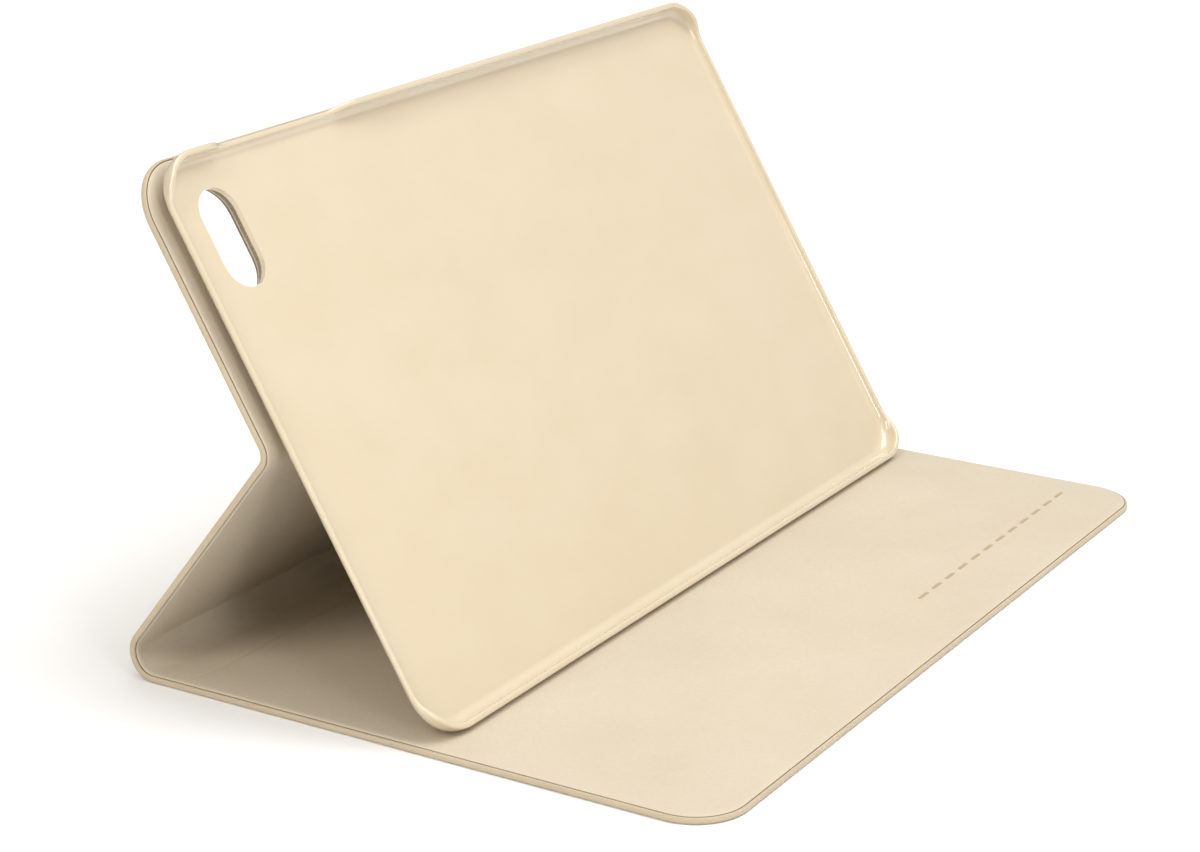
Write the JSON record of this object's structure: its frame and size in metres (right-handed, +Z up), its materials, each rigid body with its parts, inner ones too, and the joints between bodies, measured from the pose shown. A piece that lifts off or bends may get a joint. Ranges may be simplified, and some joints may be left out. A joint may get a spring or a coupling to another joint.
{
  "type": "tablet folio case",
  "caption": "Folio case for a small tablet: lined leather-look cover, soft spine, folding stand panel and a hard tray that holds the tablet.",
  "frame": {"origin": "on the table, under the middle of the case's bounding box, with the case propped open as a stand", "axes": "+X along the hinges, towards the right as the user sees the screen; +Y from the front cover's free edge to the spine; +Z up"},
  "size_m": [0.2184, 0.142, 0.1126],
  "materials": {
    "skin": "smooth satin synthetic leather, beige, with a lightly glazed edge",
    "board": "raw grey-brown fibre board",
    "strip": "thin flexible stiffening strip",
    "lining": "short-nap microfibre, cream beige",
    "tray": "glossy cream moulded plastic",
    "pad": "closed-cell foam with adhesive on both faces",
    "magnet": "nickel-plated magnet"
  },
  "bodies": {
    "front_cover": {"cover_skin": "skin", "cover_board": "board", "cover_lining": "lining", "cover_magnets": "magnet"},
    "spine_front": {"spine_front_skin": "skin", "spine_front_strip": "strip", "spine_front_lining": "lining"},
    "spine_rear": {"spine_rear_skin": "skin", "spine_rear_strip": "strip", "spine_rear_lining": "lining"},
    "stand_panel": {"stand_skin": "skin", "stand_board": "board", "stand_lining": "lining"},
    "tray_holder": {"upper_skin": "skin", "upper_board": "board", "upper_lining": "lining", "tray_pad": "pad", "tray_shell": "tray"}
  },
  "joints": [
    {"name": "cover_hinge", "type": "hinge", "parent": "spine_front", "child": "front_cover", "pos_m": [0, 0.05604, -0.00015], "axis": [1, 0, 0], "range_deg": [0, 180]},
    {"name": "spine_fold", "type": "hinge", "parent": "spine_front", "child": "spine_rear", "pos_m": [0, 0.06724, 0], "axis": [1, 0, 0], "range_deg": [-60.7, 0]},
    {"name": "stand_hinge", "type": "hinge", "parent": "spine_rear", "child": "stand_panel", "pos_m": [0, 0.07096, 0.00663], "axis": [1, 0, 0], "range_deg": [-67, 0]},
    {"name": "stand_fold", "type": "hinge", "parent": "stand_panel", "child": "tray_holder", "pos_m": [0, 0.03329, 0.05537], "axis": [1, 0, 0], "range_deg": [0, 69.1]}
  ],
  "couplings": [
    {"joint": "stand_hinge", "follows": "spine_fold", "ratio": 1.1038},
    {"joint": "stand_fold", "follows": "spine_fold", "ratio": -1.1384}
  ]
}
